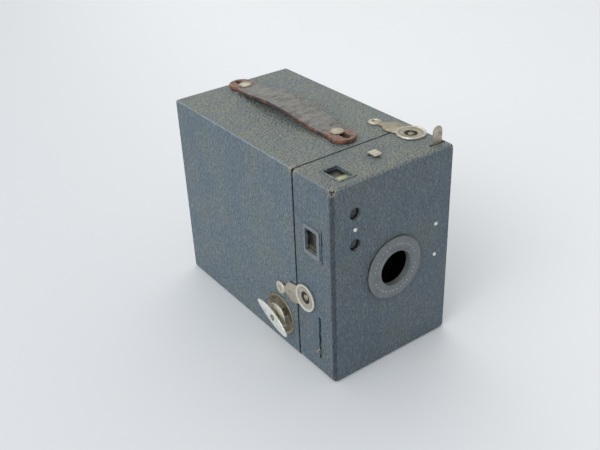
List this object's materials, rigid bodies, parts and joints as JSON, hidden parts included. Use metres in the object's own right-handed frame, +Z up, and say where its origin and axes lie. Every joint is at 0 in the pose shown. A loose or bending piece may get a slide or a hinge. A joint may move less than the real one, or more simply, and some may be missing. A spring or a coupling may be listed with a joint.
{
  "type": "box camera",
  "caption": "Box roll-film camera: leatherette case, pull-out front section with lens, rotary shutter, reflex finders and film carrier, winding key, spring catches and strap handle.",
  "frame": {"origin": "centre of the camera's base, on the surface it stands on", "axes": "+X to the right as seen from the front, +Y from the lens towards the back, +Z up"},
  "size_m": [0.0964, 0.1673, 0.14],
  "materials": {
    "leatherette": "pebbled slate-blue leatherette, edges rubbed paler",
    "black_card": "matt black lacquered card",
    "nickel": "nickel plate dulled with warm tarnish",
    "steel": "bright steel",
    "black_steel": "black japanned sheet steel",
    "grey_paint": "grey painted metal with pale marks",
    "strap_leather": "dark brown leather rubbed to rust orange at the edges",
    "lens_glass": "clear polished glass",
    "finder_screen": "yellowed ground glass",
    "red_film": "deep red transparent film",
    "mirror": "silvered",
    "spool_wood": "varnished turned wood with black metal ends"
  },
  "bodies": {
    "case": {"rear_case": "leatherette", "red_window": "red_film", "window_ring": "black_steel", "key_dish": "nickel", "key_bush": "steel", "handle_stud_front": "nickel", "handle_stud_rear": "nickel", "latch_eyelet_top": "nickel", "latch_eyelet_side": "nickel", "tripod_bush_base": "nickel", "tripod_bush_side": "nickel"},
    "key_slide": {"key_collar": "nickel"},
    "key": {"key_shaft": "steel", "key_wing": "nickel"},
    "latch_top": {"latch_plate_top": "nickel"},
    "latch_side": {"latch_plate_side": "nickel"},
    "handle": {"handle_strap": "strap_leather"},
    "front": {"front_shell": "leatherette", "front_panel": "leatherette", "lens_ring": "grey_paint", "latch_stud_top": "nickel", "latch_stud_side": "nickel", "rivet_finder": "nickel", "rivet_guide_upper": "nickel", "rivet_guide_lower": "nickel", "finder_lens_top": "lens_glass", "finder_lens_side": "lens_glass", "finder_mirror_top": "mirror", "finder_mirror_side": "mirror", "finder_glass_top": "finder_screen", "finder_glass_side": "finder_screen", "finder_frame_side": "black_steel", "finder_bracket": "black_steel", "mechanism_board": "black_card", "lens_cell": "black_steel", "meniscus_lens": "lens_glass", "disc_post": "steel", "lever_post": "steel", "shutter_spring": "steel", "stop_guide": "black_steel", "time_guide": "black_steel", "light_lip": "black_card", "light_cone": "black_card", "film_frame": "black_steel", "carrier_cheek_left": "black_steel", "carrier_cheek_right": "black_steel", "supply_pin_left": "steel", "supply_pin_right": "steel", "take_up_pin_right": "steel", "roller_axle_top": "steel", "roller_axle_bottom": "steel"},
    "shutter_lever": {"shutter_lever": "nickel"},
    "shutter_disc": {"shutter_disc": "black_steel"},
    "stop_slide": {"stop_slide": "nickel"},
    "time_slide": {"time_slide": "nickel"},
    "roller_top": {"film_roller_top": "nickel"},
    "roller_bottom": {"film_roller_bottom": "nickel"},
    "spool": {"take_up_spool": "spool_wood"}
  },
  "joints": [
    {"name": "front_slide", "type": "slide", "parent": "case", "child": "front", "axis": [0, -1, 0], "range_m": [0, 0.125]},
    {"name": "latch_top_lift", "type": "hinge", "parent": "case", "child": "latch_top", "pos_m": [0.03009, -0.0358, 0.1299], "axis": [-0.9792, -0.2028, 0], "range_deg": [0, 72]},
    {"name": "latch_side_lift", "type": "hinge", "parent": "case", "child": "latch_side", "pos_m": [-0.0454, -0.03575, 0.04329], "axis": [0, -0.2436, -0.9699], "range_deg": [0, 72]},
    {"name": "key_pull", "type": "slide", "parent": "case", "child": "key_slide", "axis": [-1, 0, 0], "range_m": [-0.0042, 0]},
    {"name": "key_turn", "type": "hinge", "parent": "key_slide", "child": "key", "pos_m": [-0.0445, -0.0289, 0.0208], "axis": [-1, 0, 0], "continuous": true},
    {"name": "take_up_turn", "type": "hinge", "parent": "front", "child": "spool", "pos_m": [0, -0.0289, 0.0208], "axis": [-1, 0, 0], "continuous": true},
    {"name": "shutter_lever_turn", "type": "hinge", "parent": "front", "child": "shutter_lever", "pos_m": [-0.0145, -0.0691, 0.026], "axis": [0, 1, 0], "range_deg": [0, 40]},
    {"name": "shutter_disc_turn", "type": "hinge", "parent": "front", "child": "shutter_disc", "pos_m": [-0.0105, -0.066, 0.0525], "axis": [0, 1, 0], "range_deg": [0, 140.5]},
    {"name": "stop_slide_lift", "type": "slide", "parent": "front", "child": "stop_slide", "axis": [0, 0, 1], "range_m": [0, 0.018]},
    {"name": "time_slide_move", "type": "slide", "parent": "front", "child": "time_slide", "axis": [0, 0, 1], "range_m": [-0.009, 0]},
    {"name": "handle_lift", "type": "slide", "parent": "case", "child": "handle", "axis": [0, 0, 1], "range_m": [0, 0.008], "deforming": ["handle_strap"]},
    {"name": "roller_top_turn", "type": "hinge", "parent": "front", "child": "roller_top", "pos_m": [0, 0.0655, 0.122], "axis": [1, 0, 0], "continuous": true},
    {"name": "roller_bottom_turn", "type": "hinge", "parent": "front", "child": "roller_bottom", "pos_m": [0, 0.0655, 0.007], "axis": [1, 0, 0], "continuous": true}
  ],
  "couplings": [
    {"joint": "latch_top_lift", "follows": "front_slide", "rad_per_m": 10},
    {"joint": "latch_side_lift", "follows": "front_slide", "rad_per_m": 10},
    {"joint": "take_up_turn", "follows": "key_turn", "ratio": 1},
    {"joint": "shutter_disc_turn", "follows": "shutter_lever_turn", "ratio": 3.5}
  ]
}
